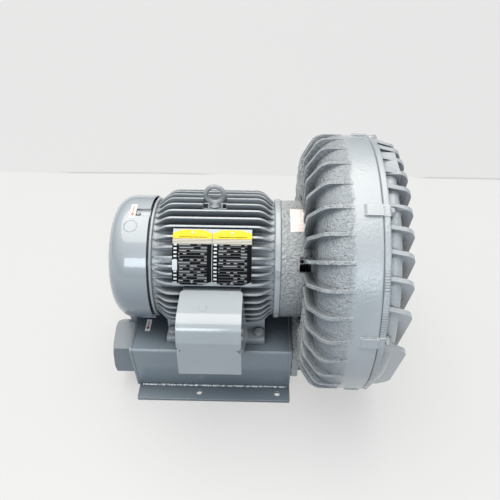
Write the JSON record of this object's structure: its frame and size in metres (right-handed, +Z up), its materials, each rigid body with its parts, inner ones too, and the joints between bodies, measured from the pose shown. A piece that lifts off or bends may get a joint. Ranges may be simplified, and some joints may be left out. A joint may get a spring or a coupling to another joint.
{
  "type": "side channel blower",
  "caption": "Side channel blower: flanged motor, finned blower head with ribbed cover, silencer box base with pipe ports, all in grey paint.",
  "frame": {"origin": "centre of the foot bolt pattern, on the floor", "axes": "+X along the shaft towards the blower cover, -Y the terminal box side, +Z up"},
  "size_m": [0.5399, 0.4965, 0.4995],
  "materials": {
    "grey_paint": "glossy grey paint on sheet steel",
    "grey_paint_dark": "grey paint on a steel fitting",
    "motor_paint": "glossy grey paint on smooth castings",
    "cast_paint": "grey paint on a rough aluminium casting",
    "painted_hardware": "hardware painted over",
    "bright_steel": "ground steel",
    "laminations": "stacked electrical sheet",
    "plain_sheet": "bare sheet",
    "copper": "varnished copper wire",
    "cast_aluminium": "machined casting",
    "fan_plastic": "black moulded plastic",
    "foam": "open cell sound absorbing foam",
    "rubber": "black rubber",
    "plate_metal": "printed metal plate",
    "white_label": "white film label"
  },
  "bodies": {
    "casing": {"base_plate": "grey_paint", "silencer_shell": "grey_paint", "end_plate_rear": "grey_paint", "end_plate_front": "grey_paint", "silencer_divider": "plain_sheet", "silencer_liners": "foam", "weld_beads": "painted_hardware", "outlet_fitting": "grey_paint_dark", "inlet_fitting": "grey_paint_dark", "motor_frame": "motor_paint", "drive_end_bracket": "motor_paint", "rear_end_bracket": "motor_paint", "bracket_screws": "painted_hardware", "stator_core": "laminations", "stator_windings": "copper", "front_bearing_outer": "bright_steel", "front_bearing_balls": "bright_steel", "rear_bearing_outer": "bright_steel", "rear_bearing_balls": "bright_steel", "fan_cover": "grey_paint", "fan_cover_screws": "painted_hardware", "terminal_box_base": "grey_paint", "terminal_box_cover": "grey_paint", "terminal_box_gasket": "rubber", "terminal_box_screws": "painted_hardware", "rating_plate_rear": "plate_metal", "rating_plate_front": "plate_metal", "plate_rivets": "plate_metal", "lifting_eyebolt": "painted_hardware", "motor_foot_bolts": "painted_hardware", "motor_foot_washers": "painted_hardware", "motor_foot_nuts": "painted_hardware", "blower_housing": "cast_paint", "housing_cover": "cast_paint", "shaft_seal": "rubber", "cover_bolts": "painted_hardware", "cover_washers": "painted_hardware", "motor_face_bolts": "painted_hardware", "manifold_gasket": "rubber", "manifold_bolts": "painted_hardware", "adapter_label": "white_label", "rotation_label": "white_label", "outlet_label": "white_label", "inlet_label": "white_label"},
    "rotor": {"motor_shaft": "bright_steel", "rotor_core": "laminations", "front_bearing_inner": "bright_steel", "rear_bearing_inner": "bright_steel", "cooling_fan": "fan_plastic", "impeller": "cast_aluminium", "impeller_key": "bright_steel", "impeller_washer": "painted_hardware", "impeller_bolt": "painted_hardware"}
  },
  "joints": [
    {"name": "shaft_spin", "type": "hinge", "parent": "casing", "child": "rotor", "pos_m": [-0.0438, 0, 0.256], "axis": [1, 0, 0], "continuous": true}
  ]
}
